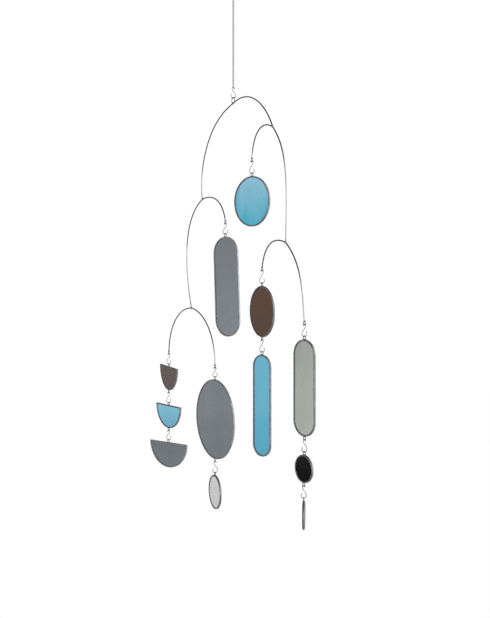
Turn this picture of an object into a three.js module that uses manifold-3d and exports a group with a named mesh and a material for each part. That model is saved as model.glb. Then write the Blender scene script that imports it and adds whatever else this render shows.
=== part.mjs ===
// A hanging suncatcher: coloured glass panes in thin metal rims, hung by wire hooks from
// five bent rods that are soldered to each other, under a fine chain with a ring at its top.
//
// Millimetres, +Z up. The origin is where a ceiling hook bears on the hanging ring's inner top.
// The rods bend in the XZ plane, and every pane hangs in it, each turned a little about its own
// hook. Names say left and right as seen from -Y.
import * as THREE from "three";
import { mergeVertices } from "three/addons/utils/BufferGeometryUtils.js";
import Module from "manifold-3d";

const wasm = await Module();
wasm.setup();

// Sizes that are set once for the whole object.
const GAP = 0.3; // between any two pieces that touch

const RING = { outer: 24, wire: 2.4 };
const JUMP_RING = { outer: 7, wire: 1.0 };
const CHAIN = { links: 39, pitch: 3.5, length: 5.05, width: 3.4, wire: 0.85 };
// How far each loop of a hook goes round is given in degrees.
const HOOK = { wire: 1.0, topLoop: 5.0, bottomLoop: 8.8, topDegrees: 205, bottomDegrees: 230 };
const CHAIN_HOOK_LENGTH = 17.3;

const ROD = { wire: 2.0, bead: 3.9 };
const TOP_EYE = { outer: 10.6, wire: 1.4 }; // rings of thinner wire, soldered on the rods
const END_EYE = { outer: 6.5, wire: 1.3 };
const RIM = { face: 2.0, depth: 3.0 };
const LOOP = { outer: 6.0, wire: 1.2, stand: 2.5 }; // stand: its centre beyond the rim's edge
const GLASS = 2.0;

// One leg of a bent rod, out and down from the middle of its arch. Angles are above the level
// line that points outwards. The two pulls say how long the leg keeps each of its directions.
const leg = (reach, drop, leaves, arrives, firstPull, lastPull) => ({
  reach, drop, leaves, arrives, firstPull, lastPull,
});

// Each rod hangs under the named end of the rod above it. A leg that carries no rod ends in an eye.
const ARMS = [
  {
    name: "top_arm",
    under: null,
    left: leg(106.4, 138.8, -12.0, -106.5, 93.6, 46.3),
    right: leg(119.7, 48.0, 18.1, -61.7, 60.3, 32.4),
  },
  {
    name: "right_arm",
    under: ["top_arm", "right"],
    left: leg(60.8, 39.0, 23.1, -83.4, 30.1, 41.8),
    right: leg(36.2, 162.4, -40.0, -93.2, 54.9, 79.5),
  },
  {
    name: "left_arm",
    under: ["top_arm", "left"],
    left: leg(41.3, 174.9, -21.4, -111.1, 77.2, 76.6),
    right: leg(80.2, 36.3, 10.6, -71.7, 30.1, 39.1),
  },
  {
    name: "lower_left_arm",
    under: ["left_arm", "left"],
    left: leg(90.3, 77.3, -0.2, -86.9, 44.0, 48.5),
    right: leg(86.1, 84.3, -4.7, -91.3, 53.8, 40.3),
  },
  {
    name: "lower_right_arm",
    under: ["right_arm", "right"],
    left: leg(66.6, 34.4, 15.9, -76.5, 29.9, 38.2),
    right: leg(49.6, 104.8, -33.8, -79.7, 56.4, 32.4),
  },
];

// The panes, each under a rod's eye or under the pane above it. Radius and height are taken over
// the rim, hook is that hook's whole length, and turn is about the hook in degrees.
const PANES = [
  {
    name: "blue_round", under: ["right_arm", "left"], shape: "disc",
    radius: 36.6, hook: 19.8, turn: 15.9, glass: "blue",
  },
  {
    name: "grey_long", under: ["left_arm", "right"], shape: "stadium",
    radius: 25.9, height: 151.9, hook: 18.2, turn: 18.1, lean: 2.3, glass: "grey",
  },
  {
    name: "brown_half", under: ["lower_left_arm", "left"], shape: "half",
    radius: 40.0, hook: 19.7, turn: -2.8, lean: -1.2, glass: "brown",
  },
  {
    name: "blue_half", under: "brown_half", shape: "half",
    radius: 39.1, hook: 19.6, turn: 7.5, glass: "blue",
  },
  {
    name: "grey_half", under: "blue_half", shape: "half",
    radius: 42.5, hook: 18.2, turn: 23.0, glass: "grey",
  },
  {
    name: "grey_large", under: ["lower_left_arm", "right"], shape: "disc",
    radius: 61.5, hook: 16.4, turn: 1.9, glass: "grey",
  },
  {
    name: "pale_small", under: "grey_large", shape: "disc",
    radius: 26.0, hook: 19.5, turn: -6.1, glass: "pale",
  },
  {
    name: "brown_round", under: ["lower_right_arm", "left"], shape: "disc",
    radius: 36.5, hook: 20.5, turn: -1.0, glass: "brown",
  },
  {
    name: "blue_long", under: "brown_round", shape: "stadium",
    radius: 17.3, height: 145.0, hook: 19.0, turn: 17.2, glass: "blue",
  },
  {
    name: "green_long", under: ["lower_right_arm", "right"], shape: "stadium",
    radius: 20.7, height: 128.8, hook: 18.1, turn: 11.6, glass: "green",
  },
  {
    name: "black_round", under: "green_long", shape: "disc",
    radius: 18.6, hook: 18.5, turn: 7.6, lean: -2.5, glass: "black",
  },
  {
    name: "last_round", under: "black_round", shape: "disc",
    radius: 18.9, hook: 18.4, turn: -34.1, glass: "brown",
  },
];

const METAL = { steel: 0x8c8e90, darkSteel: 0x6e7072, solder: 0x77787a };
const GLASS_COLOURS = {
  blue: 0x6cb2c8,
  grey: 0x7a8188,
  brown: 0x5c4a3c,
  black: 0x1c1b19,
  green: 0xa4a8a2,
  pale: 0xc8c8c8,
};

// How finely the curves are cut into flats.
const SIDES = { rod: 6, hook: 4, eye: 4, loop: 4, ring: 6 };
const STEPS = { rod: 24, hook: 16, eye: 8, loop: 6, ring: 16, pane: 20 };

const radians = THREE.MathUtils.degToRad;
const object = new THREE.Group();

function solid(geometry) {
  const bare = geometry.clone();
  bare.deleteAttribute("normal");
  bare.deleteAttribute("uv");
  const merged = mergeVertices(bare, 1e-4);
  return new wasm.Manifold(new wasm.Mesh({
    numProp: 3,
    vertProperties: new Float32Array(merged.attributes.position.array),
    triVerts: new Uint32Array(merged.index.array),
  }));
}

function geometryOf(body) {
  const mesh = body.getMesh();
  const geometry = new THREE.BufferGeometry();
  geometry.setAttribute("position", new THREE.BufferAttribute(mesh.vertProperties, 3));
  geometry.setIndex(new THREE.BufferAttribute(mesh.triVerts, 1));
  geometry.computeVertexNormals();
  return geometry;
}

const joined = (bodies) => bodies.reduce((whole, body) => whole.add(body));

// A rod section with the given number of sides, as wide over its corners as the wire.
function section(diameter, sides) {
  const shape = new THREE.Shape();
  for (let i = 0; i < sides; i += 1) {
    const angle = ((i + 0.5) / sides) * Math.PI * 2;
    const point = [Math.cos(angle), Math.sin(angle)].map((part) => (part * diameter) / 2);
    if (i === 0) shape.moveTo(...point);
    else shape.lineTo(...point);
  }
  shape.closePath();
  return shape;
}

function sweep(path, diameter, sides, steps) {
  return new THREE.ExtrudeGeometry(section(diameter, sides), {
    steps, extrudePath: path, bevelEnabled: false,
  });
}

// A closed ring of wire standing in the XZ plane, with its size given over its outside.
function wireRing(size, steps, sides, x = 0, z = 0) {
  const ring = new THREE.TorusGeometry((size.outer - size.wire) / 2, size.wire / 2, sides, steps);
  ring.rotateZ(Math.PI / 2);
  ring.rotateX(Math.PI / 2);
  ring.translate(x, 0, z);
  return ring;
}

function addPiece(parent, name, geometry, color, metalness, roughness) {
  const material = new THREE.MeshStandardMaterial({ color, metalness, roughness });
  const mesh = new THREE.Mesh(geometry, material);
  mesh.name = name;
  parent.add(mesh);
  return mesh;
}

// The middle line of one leg, from the arch's middle at (x, z) to the leg's end.
function legCurve(size, side, x, z) {
  const out = side === "left" ? -1 : 1;
  const way = (degrees, pull) => new THREE.Vector3(
    out * pull * Math.cos(radians(degrees)), 0, pull * Math.sin(radians(degrees)),
  );
  const start = new THREE.Vector3(x, 0, z);
  const end = new THREE.Vector3(x + out * size.reach, 0, z - size.drop);
  return new THREE.CubicBezierCurve3(
    start,
    start.clone().add(way(size.leaves, size.firstPull)),
    end.clone().sub(way(size.arrives, size.lastPull)),
    end,
  );
}

// One rod bent into an arch, as a single sweep from its left end to its right end.
function archPath(arm) {
  const left = legCurve(arm.left, "left", arm.x, arm.z);
  const right = legCurve(arm.right, "right", arm.x, arm.z);
  const path = new THREE.CurvePath();
  path.add(new THREE.CubicBezierCurve3(left.v3, left.v2, left.v1, left.v0));
  path.add(right);
  return path;
}

// The room that a rod and its bead of solder need where the rod above is soldered on.
function jointRoom(arm) {
  const bead = new THREE.SphereGeometry(ROD.bead / 2 + GAP, 10, 6);
  bead.translate(arm.x, 0, arm.z);
  return solid(bead).add(solid(sweep(archPath(arm), ROD.wire + 2 * GAP, 8, 60)));
}

// The outline of a pane, drawn in x and z about its own middle, with each edge moved in by inset.
// A half disc hangs under its straight edge, which is at height 0.
function outline(pane, inset) {
  const radius = pane.radius - inset;
  const points = [];
  const arc = (from, to, steps, height) => {
    for (let i = 0; i <= steps; i += 1) {
      const angle = radians(from + ((to - from) * i) / steps);
      points.push(new THREE.Vector2(radius * Math.cos(angle), height + radius * Math.sin(angle)));
    }
  };
  if (pane.shape === "disc") {
    arc(0, 360, STEPS.pane, 0);
    points.pop();
  } else if (pane.shape === "stadium") {
    const middle = pane.height / 2 - pane.radius;
    arc(0, 180, STEPS.pane / 2, middle);
    arc(180, 360, STEPS.pane / 2, -middle);
  } else {
    const corner = THREE.MathUtils.radToDeg(Math.asin(inset / radius));
    arc(180 + corner, 360 - corner, STEPS.pane / 2 + 2, 0);
  }
  return points;
}

// How far a pane's edge is above and below its middle.
function edges(pane) {
  if (pane.shape === "disc") return { top: pane.radius, bottom: -pane.radius };
  if (pane.shape === "stadium") return { top: pane.height / 2, bottom: -pane.height / 2 };
  return { top: 0, bottom: -pane.radius };
}

// A flat plate of the given thickness, standing in the XZ plane.
function plate(points, hole, thickness) {
  const shape = new THREE.Shape(points);
  if (hole) shape.holes.push(new THREE.Path(hole));
  const geometry = new THREE.ExtrudeGeometry(shape, { depth: thickness, bevelEnabled: false });
  geometry.translate(0, 0, -thickness / 2);
  geometry.rotateX(Math.PI / 2);
  return geometry;
}

// An S-hook in the YZ plane with its top at height 0. The small loop is at the top. facing is 1
// where the body runs down from +Y to -Y, and -1 for its mirror image.
function hookGeometry(length, facing) {
  const small = (HOOK.topLoop - HOOK.wire) / 2;
  const large = (HOOK.bottomLoop - HOOK.wire) / 2;
  const topMiddle = -HOOK.topLoop / 2;
  const bottomMiddle = -length + HOOK.bottomLoop / 2;
  const points = [];
  const arc = (radius, middle, from, to, count) => {
    for (let i = 0; i <= count; i += 1) {
      const angle = radians(from + ((to - from) * i) / count);
      const across = facing * radius * Math.cos(angle);
      points.push(new THREE.Vector3(0, across, middle + radius * Math.sin(angle)));
    }
  };
  arc(small, topMiddle, HOOK.topDegrees, 0, 5);
  arc(large, bottomMiddle, 175, 175 + HOOK.bottomDegrees, 6);
  const path = new THREE.CatmullRomCurve3(points, false, "centripetal");
  return sweep(path, HOOK.wire, SIDES.hook, STEPS.hook);
}

// The chain's links, every other one turned a quarter, fused where they bear on each other.
function chainBody(topInner) {
  const half = (CHAIN.length - CHAIN.wire) / 2;
  const wide = (CHAIN.width - CHAIN.wire) / 2;
  const shoulder = half * 0.55;
  const corners = [
    [0, half], [-wide, shoulder], [-wide, -shoulder],
    [0, -half], [wide, -shoulder], [wide, shoulder],
  ];
  const thick = CHAIN.wire / 2;
  const linkPlate = (grow) => corners.map(([x, z]) => {
    const size = Math.hypot(x, z);
    return new THREE.Vector2(x + (x / size) * grow, z + (z / size) * grow);
  });
  const top = topInner + CHAIN.wire / 2 - half;
  const links = [];
  for (let i = 0; i < CHAIN.links; i += 1) {
    const link = plate(linkPlate(thick), linkPlate(-thick), CHAIN.wire);
    if ((CHAIN.links - 1 - i) % 2 === 1) link.rotateZ(Math.PI / 2);
    link.translate(0, 0, top - i * CHAIN.pitch);
    links.push(solid(link));
  }
  const lowest = top - (CHAIN.links - 1) * CHAIN.pitch - half;
  return { body: joined(links), bottomInner: lowest + CHAIN.wire / 2 };
}

// The hanging ring, with the origin on its inner top.
const ringMiddle = RING.wire - RING.outer / 2;
const hangingRing = wireRing(RING, STEPS.ring, SIDES.ring, 0, ringMiddle);
addPiece(object, "hanging_ring", hangingRing, METAL.steel, 1, 0.3);
const ringBottom = 2 * ringMiddle;

const jumpInner = JUMP_RING.outer / 2 - JUMP_RING.wire;
const jumpMiddle = ringBottom + GAP - jumpInner;
const jumpRing = wireRing(JUMP_RING, STEPS.eye, SIDES.loop);
jumpRing.rotateZ(Math.PI / 2);
jumpRing.translate(0, 0, jumpMiddle);
addPiece(object, "jump_ring", jumpRing, METAL.steel, 1, 0.3);

const chain = chainBody(jumpMiddle - jumpInner + GAP);
addPiece(object, "chain", geometryOf(chain.body), METAL.steel, 1, 0.3);

// Each hook carries what hangs under it: its inner top rests on the wire of what holds it.
const hookTopOn = (wireTop) => wireTop + GAP + HOOK.wire;
const chainHookTop = hookTopOn(chain.bottomInner);
const chainHookBody = hookGeometry(CHAIN_HOOK_LENGTH, -1);
const chainHook = addPiece(object, "chain_hook", chainHookBody, METAL.steel, 1, 0.3);
chainHook.position.set(0, 0, chainHookTop);

// What a hook's lower loop carries has its inner top here.
const carriedInner = (hookTop, length) => hookTop - length + HOOK.wire + GAP;

const topEyeInner = carriedInner(chainHookTop, CHAIN_HOOK_LENGTH);
const topEyeMiddle = topEyeInner - (TOP_EYE.outer / 2 - TOP_EYE.wire);
const topEyeRadius = (TOP_EYE.outer - TOP_EYE.wire) / 2;
const eyeRadius = (END_EYE.outer - END_EYE.wire) / 2;

const armByName = {};
for (const arm of ARMS) {
  armByName[arm.name] = arm;
  if (arm.under) {
    const [above, side] = arm.under;
    const holder = armByName[above];
    holder[side].carries = arm;
    const out = side === "left" ? -1 : 1;
    arm.x = holder.x + out * holder[side].reach;
    arm.z = holder.z - holder[side].drop;
  } else {
    arm.x = 0;
    arm.z = topEyeMiddle - topEyeRadius;
  }
}

const eyes = {};
for (const arm of ARMS) {
  const bodies = [solid(sweep(archPath(arm), ROD.wire, SIDES.rod, STEPS.rod))];
  if (arm.under) {
    const bead = new THREE.SphereGeometry(ROD.bead / 2, 8, 5);
    bead.translate(arm.x, 0, arm.z);
    bodies.push(solid(bead));
  } else {
    bodies.push(solid(wireRing(TOP_EYE, STEPS.eye, SIDES.eye, arm.x, topEyeMiddle)));
  }
  for (const [side, out] of [["left", -1], ["right", 1]]) {
    if (arm[side].carries) continue;
    const x = arm.x + out * arm[side].reach;
    const z = arm.z - arm[side].drop - eyeRadius;
    eyes[`${arm.name}/${side}`] = { x, z };
    bodies.push(solid(wireRing(END_EYE, STEPS.eye, SIDES.eye, x, z)));
  }
  let body = joined(bodies);
  for (const side of ["left", "right"]) {
    if (arm[side].carries) body = body.subtract(jointRoom(arm[side].carries));
  }
  addPiece(object, arm.name, geometryOf(body), METAL.darkSteel, 1, 0.35);
}

// The panes, each in a group that hangs from its own loop and turns about it.
const holders = PANES.map((pane) => pane.under);
const carriesBelow = new Set(holders.filter((under) => typeof under === "string"));
const hungFrom = {};
const loopInner = LOOP.outer / 2 - LOOP.wire;
for (const pane of PANES) {
  let x;
  let wireTop;
  if (typeof pane.under === "string") {
    ({ x, wireTop } = hungFrom[pane.under]);
  } else {
    const eye = eyes[pane.under.join("/")];
    x = eye.x;
    wireTop = eye.z - (END_EYE.outer / 2 - END_EYE.wire);
  }
  const hookTop = hookTopOn(wireTop);
  const facing = ["pale_small", "black_round", "last_round"].includes(pane.name) ? -1 : 1;
  const hookBody = hookGeometry(pane.hook, facing);
  const hook = addPiece(object, `${pane.name}_hook`, hookBody, METAL.steel, 1, 0.3);
  hook.position.set(x, 0, hookTop);

  const hanger = new THREE.Group();
  const loopMiddle = carriedInner(hookTop, pane.hook) - loopInner;
  hanger.position.set(x, 0, loopMiddle);
  const lean = radians(pane.lean ?? 0);
  hanger.rotation.set(0, -lean, radians(pane.turn), "ZYX");
  object.add(hanger);

  const edge = edges(pane);
  const middle = -LOOP.stand - edge.top;
  const rim = plate(outline(pane, 0), outline(pane, RIM.face), RIM.depth);
  rim.translate(0, 0, middle);
  const rimBodies = [solid(rim), solid(wireRing(LOOP, STEPS.loop, SIDES.loop))];
  if (carriesBelow.has(pane.name)) {
    const lower = middle + edge.bottom - LOOP.stand;
    rimBodies.push(solid(wireRing(LOOP, STEPS.loop, SIDES.loop, 0, lower)));
    const aside = -lower * Math.sin(lean) * Math.cos(radians(pane.turn));
    const lowerMiddle = loopMiddle + lower * Math.cos(lean);
    hungFrom[pane.name] = { x: x + aside, wireTop: lowerMiddle - loopInner };
  }
  addPiece(hanger, `${pane.name}_rim`, geometryOf(joined(rimBodies)), METAL.solder, 1, 0.4);

  const glass = plate(outline(pane, RIM.face + GAP), null, GLASS);
  glass.translate(0, 0, middle);
  addPiece(hanger, `${pane.name}_glass`, glass, GLASS_COLOURS[pane.glass], 0, 0.1);
}

export default object;
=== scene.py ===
"""Dresses a hanging suncatcher: glass panes in metal edging, hung by wire hooks from bent rods.

The sizes are the ones that the part was built to, in millimetres. Every mesh is made in metres, in
the part's own frame: +Z up, the origin on the inner top of the hanging ring, the rods bent in the
XZ plane. Left and right are as seen from -Y.
"""

from __future__ import annotations

import logging
import math
from dataclasses import dataclass, field
from enum import Enum
from typing import Callable, Iterable, Optional, Sequence

import bmesh
import bpy
from bpy.types import Node, NodeSocket, NodeTree
from mathutils import Matrix, Vector, noise

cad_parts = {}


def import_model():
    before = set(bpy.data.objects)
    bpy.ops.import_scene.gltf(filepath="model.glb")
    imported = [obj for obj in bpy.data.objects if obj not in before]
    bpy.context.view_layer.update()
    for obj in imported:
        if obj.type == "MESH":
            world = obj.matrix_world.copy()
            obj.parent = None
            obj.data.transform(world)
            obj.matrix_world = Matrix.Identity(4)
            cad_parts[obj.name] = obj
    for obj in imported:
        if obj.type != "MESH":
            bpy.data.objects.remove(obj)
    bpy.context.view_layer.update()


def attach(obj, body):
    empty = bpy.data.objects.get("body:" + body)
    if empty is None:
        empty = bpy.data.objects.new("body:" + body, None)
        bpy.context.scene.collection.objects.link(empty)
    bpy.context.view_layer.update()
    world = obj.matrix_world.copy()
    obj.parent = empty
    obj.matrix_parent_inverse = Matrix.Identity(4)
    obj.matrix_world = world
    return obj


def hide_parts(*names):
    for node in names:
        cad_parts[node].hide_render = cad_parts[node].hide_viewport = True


LOG = logging.getLogger("suncatcher")

Colour = tuple[float, float, float, float]

MM = 0.001
BODY = "root"
GAP = 0.3  # between two pieces that touch, mm
WIRE_END = ((0.8, 0.45), (0.45, 0.85))  # rings of a wire's end: how far out and how wide, by its radius


# Colours, nodes and finishes


def linear(hex_colour: str) -> Colour:
    """Turns an sRGB hex colour into the linear colour that a shader takes.

    Args:
        hex_colour: Six hex digits, with or without a leading hash.

    Returns:
        Red, green, blue and an alpha of 1.
    """
    digits = hex_colour.lstrip("#")
    parts = [int(digits[i : i + 2], 16) / 255 for i in (0, 2, 4)]
    red, green, blue = (p / 12.92 if p <= 0.04045 else ((p + 0.055) / 1.055) ** 2.4 for p in parts)
    return red, green, blue, 1.0


def add_node(
    tree: NodeTree,
    kind: str,
    settings: Optional[dict[str, object]] = None,
    links: Optional[dict[str, NodeSocket]] = None,
) -> Node:
    """Adds one node with its settings and links.

    Args:
        tree: The node tree to add to.
        kind: Blender's name for the node type.
        settings: Values by input socket name or, failing that, by attribute name.
        links: Output sockets by the name of the input that each one feeds.

    Returns:
        The new node.
    """
    node = tree.nodes.new(kind)
    for name, value in (settings or {}).items():
        if name in node.inputs:
            node.inputs[name].default_value = value
        else:
            setattr(node, name, value)
    for name, socket in (links or {}).items():
        tree.links.new(socket, node.inputs[name])
    return node


def calculate(tree: NodeTree, kind: str, operation: str, *values: object) -> NodeSocket:
    """Returns the result of one sum.

    Args:
        tree: The node tree to add to.
        kind: Math for numbers or VectorMath for vectors.
        operation: Blender's name for the sum.
        values: What goes into it, in order: other nodes' outputs or plain values.
    """
    node = add_node(tree, f"ShaderNode{kind}", {"operation": operation})
    for socket, value in zip(node.inputs, values):
        if isinstance(value, NodeSocket):
            tree.links.new(value, socket)
        else:
            socket.default_value = value
    return node.outputs["Value"]


def map_range(
    tree: NodeTree, value: NodeSocket, source: tuple[float, float], result: tuple[float, float]
) -> NodeSocket:
    """Returns a number that goes from one result to the other while the value crosses its source.

    Args:
        tree: The node tree to add to.
        value: The value that the number follows.
        source: The values between which the number changes.
        result: The number before the first of them and after the second.
    """
    ends = {"From Min": source[0], "From Max": source[1], "To Min": result[0], "To Max": result[1]}
    return add_node(tree, "ShaderNodeMapRange", ends, {"Value": value}).outputs["Result"]


def two_tones(
    tree: NodeTree, value: NodeSocket, low_at: float, low: Colour, high_at: float, high: Colour
) -> NodeSocket:
    """Blends from one colour to another as a value rises.

    Args:
        tree: The node tree to add to.
        value: The value that the colour follows.
        low_at: The value up to which the colour is low.
        low: The first colour, linear.
        high_at: The value from which the colour is high.
        high: The second colour, linear.

    Returns:
        The blended colour.
    """
    ramp = add_node(tree, "ShaderNodeValToRGB", links={"Fac": value})
    for element, place, colour in zip(ramp.color_ramp.elements, (low_at, high_at), (low, high)):
        element.position = place
        element.color = colour
    return ramp.outputs["Color"]


def soft_pattern(
    tree: NodeTree, place: NodeSocket, size_mm: float, detail: float, distortion: float = 0.0
) -> NodeSocket:
    """Returns a soft uneven pattern, from 0 to 1.

    Args:
        tree: The node tree to add to.
        place: The coordinates that it follows, mm.
        size_mm: The size of its patches.
        detail: How many finer layers lie over them.
        distortion: How much its patches are bent.
    """
    values = {"Scale": 1 / size_mm, "Detail": detail, "Distortion": distortion}
    return add_node(tree, "ShaderNodeTexNoise", values, {"Vector": place}).outputs["Fac"]


def relief(tree: NodeTree, height: NodeSocket, strength: float, depth_mm: float) -> NodeSocket:
    """Returns the direction that a surface faces once it has a fine relief.

    Args:
        tree: The node tree to add to.
        height: The relief's height, from 0 to 1.
        strength: How much of the relief shows.
        depth_mm: Its depth.
    """
    values = {"Strength": strength, "Distance": depth_mm * MM}
    return add_node(tree, "ShaderNodeBump", values, {"Height": height}).outputs["Normal"]


def metal(
    tree: NodeTree,
    tone: NodeSocket,
    patches: NodeSocket,
    smoothest: float,
    roughest: float,
    facing: NodeSocket,
) -> NodeSocket:
    """Returns the shader of a metal that is rougher in some patches than in others.

    Args:
        tree: The node tree to add to.
        tone: Its colour.
        patches: The pattern that its roughness follows, from 0 to 1.
        smoothest: The roughness where the pattern is 0.
        roughest: The roughness where the pattern is 1.
        facing: The direction that its surface faces.
    """
    polish = map_range(tree, patches, (0.0, 1.0), (smoothest, roughest))
    return add_node(
        tree,
        "ShaderNodeBsdfPrincipled",
        {"Metallic": 1.0},
        {"Base Color": tone, "Roughness": polish, "Normal": facing},
    ).outputs["BSDF"]


def seen_or_mirrored(tree: NodeTree, seen: NodeSocket, mirrored: NodeSocket) -> NodeSocket:
    """Returns a shader that is one thing seen direct or through glass, and another in reflections.

    Args:
        tree: The node tree to add to.
        seen: The shader for what is seen direct or through glass.
        mirrored: The shader for light that a surface mirrors.
    """
    rays = add_node(tree, "ShaderNodeLightPath")
    share = add_node(tree, "ShaderNodeMath", {"operation": "SUBTRACT", "use_clamp": True})
    tree.links.new(rays.outputs["Is Glossy Ray"], share.inputs[0])
    tree.links.new(rays.outputs["Is Transmission Ray"], share.inputs[1])
    mix = add_node(tree, "ShaderNodeMixShader", links={"Fac": share.outputs["Value"]})
    tree.links.new(seen, mix.inputs[1])
    tree.links.new(mirrored, mix.inputs[2])
    return mix.outputs["Shader"]


class Finish:
    """A finish that is made into one Blender material, once."""

    name: str

    def material(self) -> bpy.types.Material:
        """Returns this finish's material, and makes it the first time."""
        found = bpy.data.materials.get(self.name)
        if found:
            return found
        made = bpy.data.materials.new(self.name)
        made.use_nodes = True
        tree = made.node_tree
        tree.nodes.clear()
        surface = self.surface(tree)
        add_node(tree, "ShaderNodeOutputMaterial", links={"Surface": surface})
        return made

    def surface(self, tree: NodeTree) -> NodeSocket:
        """Builds the shader and returns its output socket."""
        raise NotImplementedError

    @staticmethod
    def pattern_space(tree: NodeTree) -> NodeSocket:
        """Returns the object's own coordinates in millimetres."""
        place = add_node(tree, "ShaderNodeTexCoord").outputs["Object"]
        return add_node(
            tree, "ShaderNodeVectorMath", {"operation": "SCALE", "Scale": 1000.0}, {"Vector": place}
        ).outputs["Vector"]


@dataclass(frozen=True)
class DrawnSteel(Finish):
    """Steel pulled through a die: smooth and half bright, with a tone that drifts along its length.

    Die marks on real wire are far finer than a pixel, so the grain is drawn half a millimetre apart.
    """

    name: str
    dull: str
    bright: str
    roughness: float
    mottle_mm: float = 9.0
    grain_mm: float = 0.5
    grain_depth_mm: float = 0.05

    def surface(self, tree: NodeTree) -> NodeSocket:
        """Builds the shader and returns its output socket."""
        place = self.pattern_space(tree)
        mottle = soft_pattern(tree, place, self.mottle_mm, 3.0)
        tone = two_tones(tree, mottle, 0.35, linear(self.dull), 0.65, linear(self.bright))
        grain = soft_pattern(tree, place, self.grain_mm, 2.0)
        facing = relief(tree, grain, 0.12, self.grain_depth_mm)
        return metal(tree, tone, mottle, self.roughness - 0.06, self.roughness + 0.1, facing)


@dataclass(frozen=True)
class TinnedEdging(Finish):
    """Tin-lead edging run round the glass by hand: soft ripples, and brighter where it is rubbed."""

    name: str = "tinned_edging_hand_run"
    dull: str = "#929395"
    rubbed: str = "#b4b5b7"
    roughness: float = 0.62
    ripple_mm: float = 5.0
    skin_mm: float = 0.8
    skin_share: float = 0.25
    depth_mm: float = 0.3

    def surface(self, tree: NodeTree) -> NodeSocket:
        """Builds the shader and returns its output socket."""
        place = self.pattern_space(tree)
        ripple = soft_pattern(tree, place, self.ripple_mm, 4.0)
        skin = soft_pattern(tree, place, self.skin_mm, 3.0)
        tone = two_tones(tree, ripple, 0.38, linear(self.dull), 0.68, linear(self.rubbed))
        height = calculate(tree, "Math", "MULTIPLY_ADD", skin, self.skin_share, ripple)
        facing = relief(tree, height, 0.35, self.depth_mm)
        return metal(tree, tone, ripple, self.roughness - 0.1, self.roughness + 0.14, facing)


@dataclass(frozen=True)
class SheetGlass(Finish):
    """Rolled coloured sheet glass: see-through, glossy, with faint streaks and a slightly wavy face.

    low and high are the colours that white light has once it has passed through the sheet, near its
    bottom and near its top.
    """

    name: str
    slot: str
    low: str
    high: str
    streak_mm: float = 38.0
    streak_degrees: float = 6.0
    streak_stretch: float = 10 / 3
    wave_mm: float = 15.0
    wave_depth_mm: float = 0.4
    clearness: float = 0.95
    roughness: float = 0.04
    passes: float = 0.86  # what its two faces let through of the light that isn't tinted

    def tint(self, hex_colour: str) -> Colour:
        """Returns the shader's colour, which is what passes through both faces together.

        Args:
            hex_colour: The colour of white light behind the sheet, as sRGB hex.

        Returns:
            The linear colour.
        """
        red, green, blue, _ = linear(hex_colour)
        return (*(min(1.0, part / self.passes) for part in (red, green, blue)), 1.0)

    def surface(self, tree: NodeTree) -> NodeSocket:
        """Builds the shader and returns its output socket."""
        place = self.pattern_space(tree)
        drawn_out = add_node(
            tree,
            "ShaderNodeMapping",
            {
                "Rotation": (0.0, math.radians(self.streak_degrees), 0.0),
                "Scale": (1.0, 1.0, 1 / self.streak_stretch),
            },
            {"Vector": place},
        )
        streaks = soft_pattern(tree, drawn_out.outputs["Vector"], self.streak_mm, 2.0, 0.3)
        # The tone follows the streaks, and drifts from the sheet's bottom to its top.
        over_sheet = add_node(tree, "ShaderNodeTexCoord").outputs["Generated"]
        height = add_node(tree, "ShaderNodeSeparateXYZ", links={"Vector": over_sheet}).outputs["Z"]
        rise = calculate(tree, "Math", "MULTIPLY", height, 0.5)
        drift = calculate(tree, "Math", "MULTIPLY_ADD", streaks, 0.8, rise)
        tone = two_tones(tree, drift, 0.42, self.tint(self.low), 0.88, self.tint(self.high))
        # Rolled sheet is flat to a few hundredths of a millimetre, in long low waves.
        waves = soft_pattern(tree, place, self.wave_mm, 1.0)
        return add_node(
            tree,
            "ShaderNodeBsdfPrincipled",
            {
                "Metallic": 0.0,
                "Roughness": self.roughness,
                "IOR": 1.52,
                "Transmission Weight": self.clearness,
            },
            {"Base Color": tone, "Normal": relief(tree, waves, 0.1, self.wave_depth_mm)},
        ).outputs["BSDF"]


class Tint(Enum):
    """The sheets that the glass is cut from, each with the record's slot that it belongs to."""

    BLUE = SheetGlass("sea_blue_sheet_glass", "blue_glass", "#3d9cb6", "#84b4c6", streak_degrees=42.0)
    DEEP_BLUE = SheetGlass("deep_sea_blue_sheet_glass", "blue_glass", "#569eb7", "#5aa5bc")
    SOFT_BLUE = SheetGlass("soft_sea_blue_sheet_glass", "blue_glass", "#66a3ba", "#72b0c5")
    GREY = SheetGlass("smoke_grey_sheet_glass", "grey_glass", "#6f777e", "#686f74")
    BROWN = SheetGlass("amber_brown_sheet_glass", "brown_glass", "#43260c", "#482a10")
    GREY_BROWN = SheetGlass("grey_brown_sheet_glass", "brown_glass", "#453530", "#483932")
    BLACK = SheetGlass("near_black_sheet_glass", "black_glass", "#100f0d", "#151411", clearness=0.5)
    GREEN = SheetGlass("pale_green_grey_sheet_glass", "green_glass", "#a3a7a0", "#8f938d")
    PALE = SheetGlass("pale_clear_sheet_glass", "pale_glass", "#cacaca", "#d0d0d0")


RIM_FINISH = TinnedEdging()
# A lighter copy of the same edging for the grey panes' rims: its extra lightness is painted light, not
# a different solder.
PAINTED_LIGHT_RIM_FINISH = TinnedEdging("tinned_edging_painted_light", "#b2b3b5", "#cecfd0")
ROD_FINISH = DrawnSteel("mild_steel_rod_drawn", "#9a9b9d", "#b2b3b5", 0.18)
WIRE_FINISH = DrawnSteel("bright_steel_wire_drawn", "#727375", "#929395", 0.28)
BEAD_FINISH = TinnedEdging(name="solder_bead_cast", ripple_mm=1.5, roughness=0.3)


# Meshes


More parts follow.
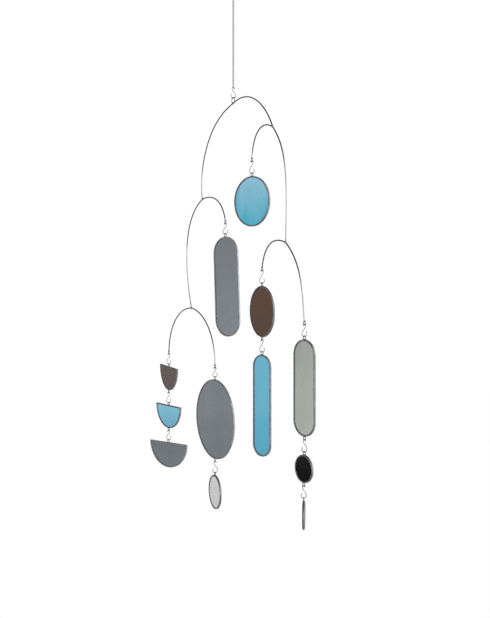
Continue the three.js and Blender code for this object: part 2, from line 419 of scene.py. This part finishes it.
@dataclass
class Surface:
    """Vertices and faces that are gathered in millimetres and become one Blender object."""

    points: list[Vector] = field(default_factory=list)
    faces: list[tuple[int, ...]] = field(default_factory=list)

    def add(self, points: Iterable[Vector], faces: Iterable[Sequence[int]]) -> None:
        """Adds vertices, and faces that count from the first of them."""
        first = len(self.points)
        self.points.extend(points)
        self.faces.extend(tuple(first + i for i in face) for face in faces)

    def add_rings(self, rings: Sequence[Sequence[Vector]], closed: bool) -> None:
        """Joins rings of the same number of points into a tube.

        Args:
            rings: The rings in order along the tube.
            closed: Whether the last ring joins the first; otherwise both ends are capped.
        """
        count = len(rings[0])
        spans = len(rings) if closed else len(rings) - 1
        faces: list[tuple[int, ...]] = []
        for i in range(spans):
            a, b = i * count, ((i + 1) % len(rings)) * count
            faces += [(a + j, a + (j + 1) % count, b + (j + 1) % count, b + j) for j in range(count)]
        if not closed:
            last = (len(rings) - 1) * count
            faces.append(tuple(reversed(range(count))))
            faces.append(tuple(range(last, last + count)))
        self.add([point for ring in rings for point in ring], faces)

    def add_wire(
        self, path: Sequence[Vector], diameter: float, closed: bool = False, sides: int = 14
    ) -> None:
        """Adds a round wire along a path, with rounded ends where the path is open.

        Args:
            path: Points along the wire's middle, mm.
            diameter: The wire's thickness, mm.
            closed: Whether the path is a loop.
            sides: Points round the wire.
        """
        count = len(path)
        ways: list[Vector] = []
        for i in range(count):
            before = path[i - 1] if (i or closed) else path[0]
            after = path[(i + 1) % count] if (i < count - 1 or closed) else path[-1]
            ways.append((after - before).normalized())
        side = ways[0].orthogonal().normalized()
        if abs(ways[0].y) < 0.9:
            side = ways[0].cross(Vector((0, 1, 0))).normalized()
        rings: list[list[Vector]] = []
        radius = diameter / 2

        def ring(middle: Vector, way: Vector, across: Vector, size: float) -> list[Vector]:
            """Returns the points round one place of the wire."""
            other = way.cross(across)
            turns = [2 * math.pi * k / sides for k in range(sides)]
            return [middle + (across * math.cos(t) + other * math.sin(t)) * size for t in turns]

        for i, (middle, way) in enumerate(zip(path, ways)):
            side = (side - way * side.dot(way)).normalized()
            if i == 0 and not closed:
                for out, wide in WIRE_END:
                    rings.append(ring(middle - way * radius * out, way, side, radius * wide))
            rings.append(ring(middle, way, side, radius))
            if i == count - 1 and not closed:
                for out, wide in reversed(WIRE_END):
                    rings.append(ring(middle + way * radius * out, way, side, radius * wide))
        self.add_rings(rings, closed)

    def add_plate(self, ring: Sequence[Vector], other: Sequence[Vector]) -> None:
        """Adds a flat sheet between two matching outlines, with its edge."""
        count = len(ring)
        faces: list[tuple[int, ...]] = [tuple(range(count)), tuple(reversed(range(count, 2 * count)))]
        faces += [(j, j + count, (j + 1) % count + count, (j + 1) % count) for j in range(count)]
        self.add([*ring, *other], faces)

    def add_lump(self, middle: Vector, sizes: Vector, seed: float, ripple: float = 0.08) -> None:
        """Adds a small cast lump, such as a bead of solder.

        Args:
            middle: Its middle, mm.
            sizes: Its half sizes along X, Y and Z, mm.
            seed: A number that gives this lump its own ripples.
            ripple: How uneven it is, as a share of its size.
        """
        across, down = 20, 12
        ripples = 1.7
        rings: list[list[Vector]] = []
        for i in range(1, down):
            polar = math.pi * i / down
            ring: list[Vector] = []
            for j in range(across):
                turn = 2 * math.pi * j / across
                out = math.sin(polar)
                way = Vector((out * math.cos(turn), out * math.sin(turn), math.cos(polar)))
                swell = 1 + ripple * noise.noise(way * ripples + Vector((seed, 0, 0)))
                ring.append(middle + Vector([a * b * swell for a, b in zip(way, sizes)]))
            rings.append(ring)
        self.add_rings(rings, False)

    def place(
        self,
        name: str,
        finish: Finish,
        slot: str,
        node: Optional[str],
        sharp_degrees: float = 60.0,
        move: Optional[Matrix] = None,
    ) -> None:
        """Makes the object, dresses it and ties it to the part.

        Args:
            name: The object's name.
            finish: What it is made of.
            slot: The record's material slot; not used.
            node: The part's node that it stands for, if any.
            sharp_degrees: Edges that turn more than this stay crisp.
            move: Where the gathered points go in the part's frame, mm.
        """
        points = [(move @ point if move else point) * MM for point in self.points]
        mesh = bpy.data.meshes.new(name)
        mesh.from_pydata(points, [], self.faces)
        shells = bmesh.new()
        shells.from_mesh(mesh)
        bmesh.ops.recalc_face_normals(shells, faces=shells.faces)
        shells.to_mesh(mesh)
        shells.free()
        mesh.shade_smooth()
        mesh.set_sharp_from_angle(angle=math.radians(sharp_degrees))
        mesh.materials.append(finish.material())
        made = bpy.data.objects.new(name, mesh)
        bpy.context.scene.collection.objects.link(made)
        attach(made, BODY)
        if node:
            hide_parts(node)
        LOG.info("%s: %d faces", name, len(self.faces))


def arc(
    middle: Vector,
    radius: float,
    start: float,
    end: float,
    count: int,
    plane: Callable[[float, float], Vector],
) -> list[Vector]:
    """Returns points on an arc.

    Args:
        middle: The arc's middle, mm.
        radius: Its radius, mm.
        start: Where it starts, degrees from the plane's first axis.
        end: Where it ends, degrees.
        count: How many points it has.
        plane: Makes an offset from the distances along the plane's two axes.

    Returns:
        The points in order.
    """
    turns = [math.radians(start + (end - start) * i / (count - 1)) for i in range(count)]
    return [middle + plane(radius * math.cos(turn), radius * math.sin(turn)) for turn in turns]


def facing_front(across: float, up: float) -> Vector:
    """An offset in the XZ plane."""
    return Vector((across, 0, up))


def facing_side(across: float, up: float) -> Vector:
    """An offset in the YZ plane."""
    return Vector((0, across, up))


def bezier(a: Vector, b: Vector, c: Vector, d: Vector, count: int) -> list[Vector]:
    """Returns count points on a cubic curve, both ends included."""
    points: list[Vector] = []
    for i in range(count):
        t = i / (count - 1)
        s = 1 - t
        points.append(a * s**3 + b * 3 * s * s * t + c * 3 * s * t * t + d * t**3)
    return points


# The hardware


@dataclass
class HangingRing:
    """The ring that a ceiling hook goes through, with a small ring that joins the chain to it."""

    outer: float = 24.0
    wire: float = 2.4
    cut_at: float = 62.0  # where the wire starts, degrees round the ring
    goes_round: float = 356.0
    small_outer: float = 7.0
    small_wire: float = 1.0
    small_cut_at: float = 20.0
    small_goes_round: float = 354.0

    @property
    def middle(self) -> float:
        """The height of the ring's middle, mm."""
        return self.wire - self.outer / 2

    @property
    def small_middle(self) -> float:
        """The height of the small ring's middle, mm."""
        return 2 * self.middle + GAP - (self.small_outer / 2 - self.small_wire)

    @property
    def carries_at(self) -> float:
        """The height of the small ring's inner bottom, mm."""
        return self.small_middle - (self.small_outer / 2 - self.small_wire)

    def build(self) -> None:
        """Makes both rings. Each is cut once, and its rounded ends nearly meet."""
        large = Surface()
        middle = Vector((0, 0, self.middle))
        radius = (self.outer - self.wire) / 2
        end = self.cut_at + self.goes_round
        large.add_wire(arc(middle, radius, self.cut_at, end, 90, facing_front), self.wire, sides=20)
        large.place("hanging_ring_wire", WIRE_FINISH, "bright_wire", "hanging_ring")
        small = Surface()
        middle = Vector((0, 0, self.small_middle))
        radius = (self.small_outer - self.small_wire) / 2
        end = self.small_cut_at + self.small_goes_round
        small.add_wire(arc(middle, radius, self.small_cut_at, end, 48, facing_side), self.small_wire)
        small.place("jump_ring_wire", WIRE_FINISH, "bright_wire", "jump_ring")


@dataclass
class LinkChain:
    """A fine cable chain. Every other link is turned a quarter."""

    links: int = 39
    pitch: float = 3.5
    length: float = 5.05
    width: float = 3.4
    wire: float = 0.76  # a little under the stock size, so that the links only just meet
    stock_wire: float = 0.85

    def link_path(self) -> list[Vector]:
        """Returns one link's middle line about its own middle, in the XZ plane."""
        radius = (self.width - self.wire) / 2
        straight = (self.length - self.width) / 2
        top = arc(Vector((0, 0, straight)), radius, 0, 180, 9, facing_front)
        bottom = arc(Vector((0, 0, -straight)), radius, 180, 360, 9, facing_front)
        return top + bottom

    def build(self, top_inner: float) -> float:
        """Makes the chain.

        Args:
            top_inner: The height of the top link's inner top, mm.

        Returns:
            The height of the lowest link's inner bottom, mm.
        """
        top = top_inner + self.stock_wire - self.length / 2
        chain = Surface()
        quarter = Matrix.Rotation(math.pi / 2, 3, "Z")
        for i in range(self.links):
            middle = Vector((0, 0, top - i * self.pitch))
            path = self.link_path()
            if (self.links - 1 - i) % 2 == 1:
                path = [quarter @ point for point in path]
            chain.add_wire([middle + point for point in path], self.wire, closed=True, sides=8)
        chain.place("cable_chain_links", WIRE_FINISH, "bright_wire", "chain")
        return top - (self.links - 1) * self.pitch - self.length / 2 + self.stock_wire


class Slant(Enum):
    """Which way a hook's body runs down, as seen from +X."""

    TO_NEAR_SIDE = 1
    TO_FAR_SIDE = -1


@dataclass
class SHook:
    """A hook of spring wire with a small loop at its top and a larger one that stays open."""

    length: float
    slant: Slant
    wire: float = 1.0
    top_loop: float = 5.0
    bottom_loop: float = 8.8
    top_degrees: float = 205.0
    bottom_from: float = 175.0
    bottom_degrees: float = 230.0
    sway: float = 0.38  # how long the body keeps each end's direction, as a share of its drop

    def path(self, x: float, top: float) -> list[Vector]:
        """Returns the middle line of the hook that hangs at x with its top at that height."""
        small = (self.top_loop - self.wire) / 2
        large = (self.bottom_loop - self.wire) / 2
        high = top - self.top_loop / 2
        low = top - self.length + self.bottom_loop / 2
        sign = self.slant.value

        def plane(across: float, up: float) -> Vector:
            """An offset in the plane that the hook is bent in."""
            return Vector((x, sign * across, up))

        upper = arc(Vector((0, 0, high)), small, self.top_degrees, 0, 18, plane)
        bottom_to = self.bottom_from + self.bottom_degrees
        lower = arc(Vector((0, 0, low)), large, self.bottom_from, bottom_to, 26, plane)
        drop = Vector((0, 0, (high - low) * self.sway))
        body = bezier(upper[-1], upper[-1] - drop, lower[0] + drop, lower[0], 12)
        return upper + body[1:-1] + lower

    def build(self, node: str, x: float, top: float) -> None:
        """Makes the hook in place of its node."""
        hook = Surface()
        hook.add_wire(self.path(x, top), self.wire, sides=12)
        hook.place(f"{node}_wire", WIRE_FINISH, "bright_wire", node)

    def rests_on(self, wire_top: float) -> float:
        """Returns the hook's top where its small loop rests on a wire with that top."""
        return wire_top + GAP + self.wire

    def carries_at(self, top: float) -> float:
        """Returns the inner top of what its lower loop carries."""
        return top - self.length + self.wire + GAP


# The rods


class Side(Enum):
    """One side of a rod, with its sign along X."""

    LEFT = -1
    RIGHT = 1


@dataclass(frozen=True)
class Leg:
    """One leg of a rod, out and down from its joint. Angles are above the level line outwards."""

    reach: float
    drop: float
    leaves: float
    arrives: float
    first_pull: float
    last_pull: float

    def points(self, side: Side, x: float, z: float, count: int = 44) -> list[Vector]:
        """Returns points from the joint at (x, z) to the leg's end."""
        out = side.value

        def way(degrees: float, pull: float) -> Vector:
            """A step of that length, at that angle above the level line outwards."""
            turn = math.radians(degrees)
            return Vector((out * pull * math.cos(turn), 0, pull * math.sin(turn)))

        start = Vector((x, 0, z))
        end = Vector((x + out * self.reach, 0, z - self.drop))
        return bezier(
            start,
            start + way(self.leaves, self.first_pull),
            end - way(self.arrives, self.last_pull),
            end,
            count,
        )


@dataclass
class BentRod:
    """A steel rod bent into an uneven arch. A leg that carries no other rod ends in a small eye.

    The eyes are rings of thinner wire that are soldered on.
    """

    name: str
    left: Leg
    right: Leg
    under: Optional[tuple[str, Side]] = None
    wire: float = 2.0
    top_eye: float = 10.6
    top_eye_wire: float = 1.4
    end_eye: float = 6.5
    end_eye_wire: float = 1.3
    bead: float = 3.9
    top_seat: tuple[float, float, float] = (2.0, 1.15, 1.2)  # half sizes of the solder at an eye
    end_seat: tuple[float, float, float] = (1.35, 1.1, 1.2)
    seat_ripple: float = 0.15
    top_seat_rise: float = 0.3  # above the rod's middle line
    bead_rise: float = 0.25
    bead_shape: tuple[float, float, float] = (0.86, 0.8, 1.0)
    stops_short: float = 0.4  # of a leg that carries another rod, as a share of its wire
    x: float = 0.0
    z: float = 0.0
    carried: set[Side] = field(default_factory=set)

    def leg(self, side: Side) -> Leg:
        """The leg on that side."""
        return self.left if side is Side.LEFT else self.right

    def end(self, side: Side) -> tuple[float, float]:
        """Where that leg ends, mm."""
        leg = self.leg(side)
        return self.x + side.value * leg.reach, self.z - leg.drop

    def eye_middle(self, side: Side) -> tuple[float, float]:
        """The middle of the eye at that leg's end, mm."""
        x, z = self.end(side)
        return x, z - (self.end_eye - self.end_eye_wire) / 2

    def half(self, side: Side) -> list[Vector]:
        """Returns that half of the rod's middle line, from the joint outwards."""
        points = self.leg(side).points(side, self.x, self.z)
        if side in self.carried:
            return points[:-1] + [points[-1] + Vector((0, 0, self.stops_short * self.wire))]
        return points

    def build(self) -> None:
        """Makes the rod, and the bead of solder that holds it to the rod above."""
        left = list(reversed(self.half(Side.LEFT)))
        rod = Surface()
        rod.add_wire(left[:-1] + self.half(Side.RIGHT), self.wire, sides=16)
        if self.under is None:
            radius = (self.top_eye - self.top_eye_wire) / 2
            middle = Vector((self.x, 0, self.z + radius))
            eye = arc(middle, radius, 0, 360, 41, facing_front)[:-1]
            rod.add_wire(eye, self.top_eye_wire, True, 12)
            seat = Vector((self.x, 0, self.z + self.top_seat_rise))
            rod.add_lump(seat, Vector(self.top_seat), 1.0, self.seat_ripple)
        for side in Side:
            if side in self.carried:
                continue
            x, z = self.eye_middle(side)
            radius = (self.end_eye - self.end_eye_wire) / 2
            eye = arc(Vector((x, 0, z)), radius, 0, 360, 33, facing_front)[:-1]
            rod.add_wire(eye, self.end_eye_wire, True, 12)
            rod.add_lump(Vector((x, 0, z + radius)), Vector(self.end_seat), x, self.seat_ripple)
        rod.place(f"{self.name}_rod", ROD_FINISH, "rod_steel", self.name)
        if self.under:
            bead = Surface()
            middle = Vector((self.x, 0, self.z + self.bead_rise))
            sizes = Vector([share * (self.bead / 2) for share in self.bead_shape])
            bead.add_lump(middle, sizes, self.x)
            bead.place(f"{self.name}_solder_bead", BEAD_FINISH, "rod_steel", None)


# The panes


class Outline(Enum):
    """The shapes that the glass is cut to."""

    DISC = "disc"
    STADIUM = "stadium"
    HALF_DISC = "half disc"


@dataclass
class Pane:
    """A glass pane in its edging, with its loops and the hook that it hangs by."""

    name: str
    under: str | tuple[str, Side]
    outline: Outline
    radius: float
    hook: float
    turn: float
    tint: Tint
    height: float = 0.0
    lean: float = 0.0
    slant: Slant = Slant.TO_NEAR_SIDE
    edging: Finish = RIM_FINISH
    face: float = 2.0
    depth: float = 3.0
    glass: float = 2.0
    groove: float = 1.0
    bulge: float = 0.4
    slack: float = 0.05
    bed_gap: float = 0.02
    loop_outer: float = 6.0
    loop_wire: float = 1.2
    loop_stand: float = 2.5
    seat: tuple[float, float, float] = (2.6, 1.5, 0.85)  # half sizes of the solder at a loop
    seat_ripple: float = 0.2
    seat_out: float = 1.02  # from its loop's middle, as a share of loop_stand
    carries: bool = False

    @property
    def top_edge(self) -> float:
        """The top edge above the outline's own middle, mm."""
        if self.outline is Outline.DISC:
            return self.radius
        return self.height / 2 if self.outline is Outline.STADIUM else 0.0

    @property
    def bottom_edge(self) -> float:
        """The bottom edge above the outline's own middle, mm."""
        return -self.height / 2 if self.outline is Outline.STADIUM else -self.radius

    @property
    def loop_inner(self) -> float:
        """The loop's inner radius, mm."""
        return self.loop_outer / 2 - self.loop_wire

    def border(self) -> list[Vector]:
        """Returns the outer border, the way round from its right side over the top."""
        if self.outline is Outline.DISC:
            return arc(Vector(), self.radius, 0, 360, 121, facing_front)[:-1]
        if self.outline is Outline.STADIUM:
            straight = self.height / 2 - self.radius
            climbs = [straight * (i / 8 - 1) for i in range(1, 16)]
            top = arc(Vector((0, 0, straight)), self.radius, 0, 180, 49, facing_front)
            bottom = arc(Vector((0, 0, -straight)), self.radius, 180, 360, 49, facing_front)
            rise = [Vector((self.radius, 0, climb)) for climb in climbs]
            fall = [Vector((-self.radius, 0, -climb)) for climb in climbs]
            return top + fall + bottom + rise
        bow = arc(Vector(), self.radius, 180, 360, 81, facing_front)
        flat = [Vector((self.radius * (1 - i / 12), 0, 0)) for i in range(1, 24)]
        return bow + flat

    def inward(self, border: Sequence[Vector]) -> list[Vector]:
        """Returns, for each border point, the step that moves both its edges in by 1 mm."""
        count = len(border)
        steps: list[Vector] = []
        for i in range(count):
            before = (border[i] - border[i - 1]).normalized()
            after = (border[(i + 1) % count] - border[i]).normalized()
            first = Vector((-before.z, 0, before.x))
            second = Vector((-after.z, 0, after.x))
            steps.append((first + second) / (1 + first.dot(second)))
        return steps

    def profile(self) -> list[tuple[float, float]]:
        """Returns the edging's section as (inward, towards +Y): a channel that folds over the glass."""
        half = self.depth / 2
        bed = self.glass / 2 + self.bed_gap
        turns = [math.pi * i / 10 for i in range(11)]
        shoulder = half - self.bulge
        crown = [
            (self.face * (1 - math.cos(turn)) / 2, shoulder + self.bulge * math.sin(turn))
            for turn in turns
        ]
        front = [(self.groove, bed), (self.face, bed), *reversed(crown)]
        back = [(inward, -y) for inward, y in reversed(front)]
        return front + back

    def build(self, x: float, wire_top: float) -> tuple[float, float]:
        """Makes the pane's hook, edging, loops and glass.

        Args:
            x: Where the pane hangs along X, mm.
            wire_top: The top of the wire that its hook goes over, mm.

        Returns:
            Where a pane below hangs along X, and the top of the wire that its hook goes over.
        """
        hook = SHook(self.hook, self.slant)
        hook_top = hook.rests_on(wire_top)
        hook.build(f"{self.name}_hook", x, hook_top)
        loop_middle = hook.carries_at(hook_top) - self.loop_inner
        move = (
            Matrix.Translation((x, 0, loop_middle))
            @ Matrix.Rotation(math.radians(self.turn), 4, "Z")
            @ Matrix.Rotation(math.radians(-self.lean), 4, "Y")
        )
        middle = Vector((0, 0, -self.loop_stand - self.top_edge))
        border = self.border()
        steps = self.inward(border)
        section = self.profile()
        rim = Surface()
        rim.add_rings(
            [
                [middle + point + step * inward + Vector((0, y, 0)) for inward, y in section]
                for point, step in zip(border, steps)
            ],
            True,
        )
        lower = middle.z + self.bottom_edge - self.loop_stand
        self.add_loop(rim, 0.0, -1)
        if self.carries:
            self.add_loop(rim, lower, 1)
        rim.place(f"{self.name}_edging", self.edging, "rim_solder", f"{self.name}_rim", 38, move)
        half = Vector((0, self.glass / 2, 0))
        inward = self.groove + self.slack
        held = [middle + point + step * inward for point, step in zip(border, steps)]
        sheet = Surface()
        sheet.add_plate([point - half for point in held], [point + half for point in held])
        glass = self.tint.value
        sheet.place(f"{self.name}_sheet", glass, glass.slot, f"{self.name}_glass", 30, move)
        aside = -lower * math.sin(math.radians(self.lean)) * math.cos(math.radians(self.turn))
        lower_middle = loop_middle + lower * math.cos(math.radians(self.lean))
        return x + aside, lower_middle - self.loop_inner

    def add_loop(self, rim: Surface, height: float, towards: int) -> None:
        """Adds a wire loop at that height, with the solder that holds it to the edge beside it."""
        radius = (self.loop_outer - self.loop_wire) / 2
        middle = Vector((0, 0, height))
        rim.add_wire(arc(middle, radius, 0, 360, 33, facing_front)[:-1], self.loop_wire, True, 10)
        seat = Vector((0, 0, height + towards * self.loop_stand * self.seat_out))
        rim.add_lump(seat, Vector(self.seat), height + self.radius, self.seat_ripple)


# The whole object


def rods() -> list[BentRod]:
    """Returns the five rods, from the top one down."""
    return [
        BentRod(
            "top_arm",
            Leg(106.4, 138.8, -12.0, -106.5, 93.6, 46.3),
            Leg(119.7, 48.0, 18.1, -61.7, 60.3, 32.4),
        ),
        BentRod(
            "right_arm",
            Leg(60.8, 39.0, 23.1, -83.4, 30.1, 41.8),
            Leg(36.2, 162.4, -40.0, -93.2, 54.9, 79.5),
            ("top_arm", Side.RIGHT),
        ),
        BentRod(
            "left_arm",
            Leg(41.3, 174.9, -21.4, -111.1, 77.2, 76.6),
            Leg(80.2, 36.3, 10.6, -71.7, 30.1, 39.1),
            ("top_arm", Side.LEFT),
        ),
        BentRod(
            "lower_left_arm",
            Leg(90.3, 77.3, -0.2, -86.9, 44.0, 48.5),
            Leg(86.1, 84.3, -4.7, -91.3, 53.8, 40.3),
            ("left_arm", Side.LEFT),
        ),
        BentRod(
            "lower_right_arm",
            Leg(66.6, 34.4, 15.9, -76.5, 29.9, 38.2),
            Leg(49.6, 104.8, -33.8, -79.7, 56.4, 32.4),
            ("right_arm", Side.RIGHT),
        ),
    ]


def panes() -> list[Pane]:
    """Returns the panes, each after the one that it hangs from."""
    disc, stadium, half = Outline.DISC, Outline.STADIUM, Outline.HALF_DISC
    far = Slant.TO_FAR_SIDE
    under_right, under_left = ("right_arm", Side.LEFT), ("left_arm", Side.RIGHT)
    low_left, low_mid = ("lower_left_arm", Side.LEFT), ("lower_left_arm", Side.RIGHT)
    low_right, far_right = ("lower_right_arm", Side.LEFT), ("lower_right_arm", Side.RIGHT)
    blue, grey, brown = Tint.BLUE, Tint.GREY, Tint.BROWN
    # The grey panes take the lighter copy of the edging, whose extra lightness is painted light.
    painted_light_edging = PAINTED_LIGHT_RIM_FINISH
    return [
        Pane("blue_round", under_right, disc, 36.6, 19.8, 15.9, blue),
        Pane("grey_long", under_left, stadium, 25.9, 18.2, 18.1, grey, 151.9, 2.3, edging=painted_light_edging),
        Pane("brown_half", low_left, half, 40.0, 19.7, -2.8, Tint.GREY_BROWN, lean=-1.2),
        Pane("blue_half", "brown_half", half, 39.1, 19.6, 7.5, Tint.SOFT_BLUE),
        Pane("grey_half", "blue_half", half, 42.5, 18.2, 23.0, grey, edging=painted_light_edging),
        Pane("grey_large", low_mid, disc, 61.5, 16.4, 1.9, grey, edging=painted_light_edging),
        Pane("pale_small", "grey_large", disc, 26.0, 19.5, -6.1, Tint.PALE, slant=far),
        Pane("brown_round", low_right, disc, 36.5, 20.5, -1.0, brown),
        Pane("blue_long", "brown_round", stadium, 17.3, 19.0, 17.2, Tint.DEEP_BLUE, 145.0),
        Pane("green_long", far_right, stadium, 20.7, 18.1, 11.6, Tint.GREEN, 128.8),
        Pane("black_round", "green_long", disc, 18.6, 18.5, 7.6, Tint.BLACK, lean=-2.5, slant=far),
        Pane("last_round", "black_round", disc, 18.9, 18.4, -34.1, brown, slant=far),
    ]


@dataclass
class Suncatcher:
    """The whole hanging object, built from its ring down."""

    ring: HangingRing = field(default_factory=HangingRing)
    chain: LinkChain = field(default_factory=LinkChain)
    chain_hook: SHook = field(default_factory=lambda: SHook(17.3, Slant.TO_FAR_SIDE))
    rods: list[BentRod] = field(default_factory=rods)
    panes: list[Pane] = field(default_factory=panes)

    def build(self) -> None:
        """Builds every piece in order, each from where the one above carries it."""
        self.ring.build()
        chain_bottom = self.chain.build(self.ring.carries_at + GAP)
        hook_top = self.chain_hook.rests_on(chain_bottom)
        self.chain_hook.build("chain_hook", 0.0, hook_top)
        first = self.rods[0]
        eye_inner = self.chain_hook.carries_at(hook_top)
        # The rod's middle line and its top eye's meet where the eye is lowest.
        first.z = eye_inner - first.top_eye + 1.5 * first.top_eye_wire
        by_name = {rod.name: rod for rod in self.rods}
        for rod in self.rods[1:]:
            above, side = rod.under
            by_name[above].carried.add(side)
            rod.x, rod.z = by_name[above].end(side)
        for rod in self.rods:
            rod.build()
        hangs: dict[str, tuple[float, float]] = {}
        with_pane_below = {pane.under for pane in self.panes if isinstance(pane.under, str)}
        for pane in self.panes:
            pane.carries = pane.name in with_pane_below
            if isinstance(pane.under, str):
                x, wire_top = hangs[pane.under]
            else:
                above, side = pane.under
                rod = by_name[above]
                x, eye = rod.eye_middle(side)
                wire_top = eye - (rod.end_eye / 2 - rod.end_eye_wire)
            hangs[pane.name] = pane.build(x, wire_top)


# The studio


@dataclass(frozen=True)
class WhitePaper(Finish):
    """Matt white studio paper, lit so evenly that it reads as plain white."""

    name: str = "white_studio_paper"
    glow: float = 1.0
    mirrored_dim: float = 0.06
    mirrored_bright: float = 0.5
    mirrored_far: float = 0.38
    reach: float = 0.5
    fades_from: float = 3.9
    fades_to: float = 6.0

    def surface(self, tree: NodeTree) -> NodeSocket:
        """Builds the shader and returns its output socket.

        In reflections the paper is brighter on the window's side, within its reach in metres, and
        brighter again far out, so that it has no edge where the surround starts.
        """
        white = add_node(tree, "ShaderNodeEmission", {"Strength": self.glow})
        place = add_node(tree, "ShaderNodeTexCoord").outputs["Object"]
        window_side = add_node(tree, "ShaderNodeSeparateXYZ", links={"Vector": place}).outputs["Y"]
        near_reach = (-0.5 * self.reach, 1.5 * self.reach)
        near = map_range(tree, window_side, near_reach, (self.mirrored_dim, self.mirrored_bright))
        away = calculate(tree, "VectorMath", "LENGTH", place)
        far = map_range(tree, away, (self.fades_from, self.fades_to), (0.0, self.mirrored_far))
        both = calculate(tree, "Math", "ADD", near, far)
        dim = add_node(tree, "ShaderNodeEmission", links={"Strength": both})
        return seen_or_mirrored(tree, white.outputs["Emission"], dim.outputs["Emission"])


@dataclass
class Studio:
    """The camera of the photograph, soft lights, a white surround and a floor far below.

    Lengths are in millimetres. An azimuth counts from -Y towards +X, in degrees.
    """

    azimuth: float = 62.0
    focal_px: float = 1050.0
    width_px: int = 490
    height_px: int = 618
    horizon_px: float = 255.0
    chain_px: float = 233.3
    distance: float = 1575.0
    camera_height: float = -410.65
    floor_height: float = -1500.0
    bright_azimuth: float = 100.0
    dark_way: tuple[float, float, float] = (-0.2, -0.22, 0.95)

    def camera(self) -> None:
        """Sets the camera level, as far from the chain as the photograph's was."""
        turn = math.radians(self.azimuth)
        away = Vector((math.sin(turn), -math.cos(turn), 0))
        right = Vector((math.cos(turn), math.sin(turn), 0))
        aside = (self.width_px / 2 - self.chain_px) / self.focal_px * self.distance
        data = bpy.data.cameras.new("camera")
        data.sensor_width = 36.0
        data.sensor_fit = "AUTO"
        longest = max(self.width_px, self.height_px)
        data.lens = self.focal_px / longest * data.sensor_width
        data.shift_y = (self.horizon_px - self.height_px / 2) / longest
        data.clip_start = 0.05
        camera = bpy.data.objects.new("camera", data)
        camera.location = (away * self.distance + right * aside) * MM
        camera.location.z = self.camera_height * MM
        camera.rotation_euler = (math.pi / 2, 0, turn)
        bpy.context.scene.collection.objects.link(camera)
        bpy.context.scene.camera = camera

    def light(
        self, name: str, azimuth: float, height: float, reach: float, size: float, power: float
    ) -> None:
        """Adds one soft square light that looks at the object's middle.

        Args:
            name: The light's name.
            azimuth: Its direction, degrees as for the camera.
            height: Its height, m.
            reach: Its distance, m.
            size: Its side, m.
            power: Its power, W.
        """
        data = bpy.data.lights.new(name, "AREA")
        data.size = size
        data.energy = power
        lamp = bpy.data.objects.new(name, data)
        turn = math.radians(azimuth)
        lamp.location = (reach * math.sin(turn), -reach * math.cos(turn), height)
        middle = Vector((0, 0, self.camera_height * MM))
        lamp.rotation_euler = (middle - lamp.location).to_track_quat("-Z", "Y").to_euler()
        bpy.context.scene.collection.objects.link(lamp)

    def surround(self) -> None:
        """Makes a surround that is white to look at.

        In reflections it is bright on the window's side, dims away from it, and is dark overhead.
        """
        world = bpy.data.worlds.new("surround")
        world.use_nodes = True
        tree = world.node_tree
        tree.nodes.clear()
        place = add_node(tree, "ShaderNodeTexCoord").outputs["Generated"]
        turn = math.radians(self.bright_azimuth)
        window_way = (math.sin(turn), -math.cos(turn), 0.0)
        share = calculate(tree, "VectorMath", "DOT_PRODUCT", place, window_way)
        towards_window = map_range(tree, share, (-0.95, 0.6), (0.42, 1.8))
        up = calculate(tree, "VectorMath", "DOT_PRODUCT", place, self.dark_way)
        rise = map_range(tree, up, (-1.0, 1.0), (0.0, 1.0))
        room = add_node(tree, "ShaderNodeValToRGB", links={"Fac": rise})
        stops = room.color_ramp.elements
        stops[0].position, stops[0].color = 0.62, linear("#ffffff")
        stops[1].position, stops[1].color = 0.92, linear("#080808")
        stops.new(0.72).color = linear("#707070")
        stops.new(0.80).color = linear("#181818")
        dim = add_node(
            tree,
            "ShaderNodeBackground",
            links={"Color": room.outputs["Color"], "Strength": towards_window},
        )
        white = add_node(tree, "ShaderNodeBackground", {"Color": linear("#ffffff"), "Strength": 1.02})
        both = seen_or_mirrored(tree, white.outputs["Background"], dim.outputs["Background"])
        add_node(tree, "ShaderNodeOutputWorld", links={"Surface": both})
        bpy.context.scene.world = world

    def floor(self) -> None:
        """Lays a wide white floor, far below the object that hangs."""
        size = 5.0
        mesh = bpy.data.meshes.new("floor")
        corners = [(-size, -size), (size, -size), (size, size), (-size, size)]
        mesh.from_pydata([(x, y, self.floor_height * MM) for x, y in corners], [], [(0, 1, 2, 3)])
        mesh.materials.append(WhitePaper().material())
        floor = bpy.data.objects.new("floor", mesh)
        bpy.context.scene.collection.objects.link(floor)

    def build(self) -> None:
        """Sets up the camera, the surround, the floor and the lights."""
        self.camera()
        self.surround()
        self.floor()
        self.light("window_right", self.azimuth + 70, height=-0.2, reach=2.2, size=1.6, power=4.0)
        self.light("window_left", self.azimuth - 165, height=-0.3, reach=2.4, size=1.0, power=2.0)
        bpy.context.scene.view_settings.view_transform = "Standard"
        bpy.context.scene.view_settings.look = "None"


def main() -> None:
    """Builds the studio and the object."""
    logging.basicConfig(level=logging.INFO, format="%(name)s %(message)s")
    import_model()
    Studio().build()
    Suncatcher().build()
    LOG.info("boxes written")


if __name__ == "__main__":
    main()
